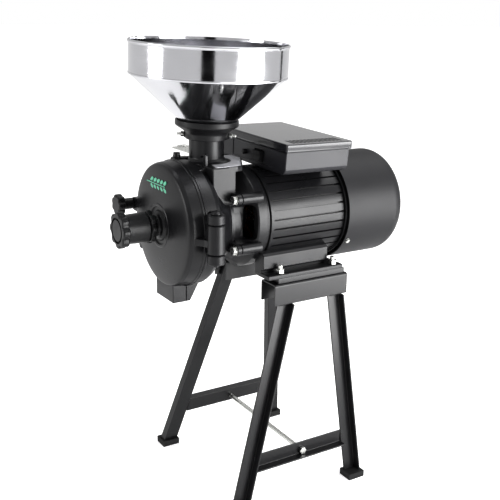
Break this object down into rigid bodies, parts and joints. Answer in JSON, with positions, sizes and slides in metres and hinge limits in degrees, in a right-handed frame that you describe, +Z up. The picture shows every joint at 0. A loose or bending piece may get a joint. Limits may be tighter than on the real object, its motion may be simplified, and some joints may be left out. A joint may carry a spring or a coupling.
{
  "type": "grain mill",
  "caption": "Upright electric plate mill: round hopper above a hinged burr housing on a finned motor, standing on a splayed angle-iron frame.",
  "frame": {"origin": "on the floor below the middle of the whole mill", "axes": "+Z up, +Y along the shaft from the adjusting knob towards the fan, +X towards the cover's hinge"},
  "size_m": [0.297, 0.506, 0.7538],
  "materials": {
    "stainless": "polished stainless sheet",
    "black_casting": "satin black enamel on cast iron and aluminium",
    "black_paint": "semi-gloss black powder coat",
    "black_plastic": "moulded black plastic",
    "zinc_steel": "bright zinc plate",
    "burr_iron": "machined cast iron",
    "winding": "varnished copper winding and laminations",
    "capacitor_can": "drawn can",
    "rubber": "matt black rubber"
  },
  "bodies": {
    "mill_and_stand": {"mill_housing": "black_casting", "fixed_burr": "burr_iron", "hinge_pin": "zinc_steel", "stator_core": "winding", "motor_frame": "black_casting", "front_end_shield": "black_casting", "rear_end_shield": "black_casting", "front_bearing": "zinc_steel", "rear_bearing": "zinc_steel", "fan_cowl": "black_paint", "shield_bolt_far_lower": "zinc_steel", "shield_bolt_far_upper": "zinc_steel", "shield_bolt_near_lower": "zinc_steel", "shield_bolt_near_upper": "zinc_steel", "near_rail": "black_paint", "far_rail": "black_paint", "near_saddle": "black_paint", "far_saddle": "black_paint", "foot_bolt_near_front": "zinc_steel", "foot_bolt_near_rear": "zinc_steel", "foot_bolt_far_front": "zinc_steel", "foot_bolt_far_rear": "zinc_steel", "near_front_leg": "black_paint", "near_rear_leg": "black_paint", "far_front_leg": "black_paint", "far_rear_leg": "black_paint", "near_front_foot": "rubber", "near_rear_foot": "rubber", "far_front_foot": "rubber", "far_rear_foot": "rubber", "near_crossbar": "black_paint", "far_crossbar": "black_paint", "tie_rod": "zinc_steel", "tie_rod_nut": "zinc_steel", "box_body": "black_plastic", "box_lid": "black_plastic", "cable_gland": "black_plastic", "start_capacitor": "capacitor_can", "run_capacitor": "capacitor_can", "terminal_block": "black_plastic"},
    "rotor": {"motor_shaft": "zinc_steel", "rotor_core": "burr_iron", "feed_auger": "burr_iron", "rotating_burr": "burr_iron", "cooling_fan": "black_plastic"},
    "cover": {"front_cover": "black_casting"},
    "adjusting_spindle": {"adjusting_screw": "zinc_steel"},
    "adjusting_wheel": {"adjusting_knob": "black_plastic"},
    "jam_ring": {"lock_ring": "black_plastic"},
    "cover_stud": {"lock_stud": "zinc_steel"},
    "cover_wheel": {"lock_knob": "black_plastic"},
    "cup": {"hopper_collar": "black_plastic"},
    "funnel": {"hopper_funnel": "stainless"},
    "near_shank": {"thumb_shank_near": "zinc_steel"},
    "near_wing": {"thumb_wing_near": "zinc_steel"},
    "far_shank": {"thumb_shank_far": "zinc_steel"},
    "far_wing": {"thumb_wing_far": "zinc_steel"},
    "gate": {"feed_gate": "zinc_steel"},
    "rocker": {"rocker_switch": "black_plastic"},
    "reset": {"reset_button": "black_plastic"}
  },
  "joints": [
    {"name": "rotor_spin", "type": "hinge", "parent": "mill_and_stand", "child": "rotor", "pos_m": [0, 0, 0.467], "axis": [0, 1, 0], "continuous": true},
    {"name": "cover_swing", "type": "hinge", "parent": "mill_and_stand", "child": "cover", "pos_m": [0.1215, -0.146, 0.4685], "axis": [0, 0, 1], "range_deg": [0, 110]},
    {"name": "adjusting_slide", "type": "slide", "parent": "cover", "child": "adjusting_spindle", "axis": [0, 1, 0], "range_m": [-0.006, 0]},
    {"name": "adjusting_turn", "type": "hinge", "parent": "adjusting_spindle", "child": "adjusting_wheel", "pos_m": [0, -0.246, 0.467], "axis": [0, 1, 0], "range_deg": [-1441, 0]},
    {"name": "jam_ring_turn", "type": "hinge", "parent": "cover", "child": "jam_ring", "pos_m": [0, -0.199, 0.467], "axis": [0, 1, 0], "range_deg": [-60, 0]},
    {"name": "cover_stud_slide", "type": "slide", "parent": "cover", "child": "cover_stud", "axis": [0, 1, 0], "range_m": [-0.01, 0]},
    {"name": "cover_wheel_turn", "type": "hinge", "parent": "cover_stud", "child": "cover_wheel", "pos_m": [-0.112, -0.202, 0.48], "axis": [0, 1, 0], "range_deg": [-2881, 0]},
    {"name": "cup_lift", "type": "slide", "parent": "mill_and_stand", "child": "cup", "axis": [0.0366, 0.0157, 0.9992], "range_m": [0, 0.06]},
    {"name": "funnel_lift", "type": "slide", "parent": "cup", "child": "funnel", "axis": [0.0366, 0.0157, 0.9992], "range_m": [0, 0.12]},
    {"name": "near_shank_slide", "type": "slide", "parent": "cup", "child": "near_shank", "axis": [0.5291, 0.8479, -0.0327], "range_m": [0, 0.003]},
    {"name": "near_wing_turn", "type": "hinge", "parent": "near_shank", "child": "near_wing", "pos_m": [0.02231, -0.06035, 0.60302], "axis": [0.5291, 0.8479, -0.0327], "range_deg": [0, 1081]},
    {"name": "far_shank_slide", "type": "slide", "parent": "cup", "child": "far_shank", "axis": [-0.5291, -0.8479, 0.0327], "range_m": [0, 0.003]},
    {"name": "far_wing_turn", "type": "hinge", "parent": "far_shank", "child": "far_wing", "pos_m": [-0.02213, -0.13158, 0.60577], "axis": [-0.5291, -0.8479, 0.0327], "range_deg": [0, 1081]},
    {"name": "gate_slide", "type": "slide", "parent": "mill_and_stand", "child": "gate", "axis": [1, 0, 0], "range_m": [0, 0.044]},
    {"name": "rocker_tilt", "type": "hinge", "parent": "mill_and_stand", "child": "rocker", "pos_m": [0.02304, -0.01077, 0.56908], "axis": [0.9996, 0, -0.0297], "range_deg": [0, 8]},
    {"name": "reset_press", "type": "slide", "parent": "mill_and_stand", "child": "reset", "axis": [0, 1, 0], "range_m": [0, 0.003], "stiffness_N_per_m": 200}
  ],
  "couplings": [
    {"joint": "adjusting_turn", "follows": "adjusting_slide", "rad_per_m": 4188.8},
    {"joint": "cover_wheel_turn", "follows": "cover_stud_slide", "rad_per_m": 5026.5},
    {"joint": "near_wing_turn", "follows": "near_shank_slide", "rad_per_m": 6283.2},
    {"joint": "far_wing_turn", "follows": "far_shank_slide", "rad_per_m": 6283.2}
  ]
}
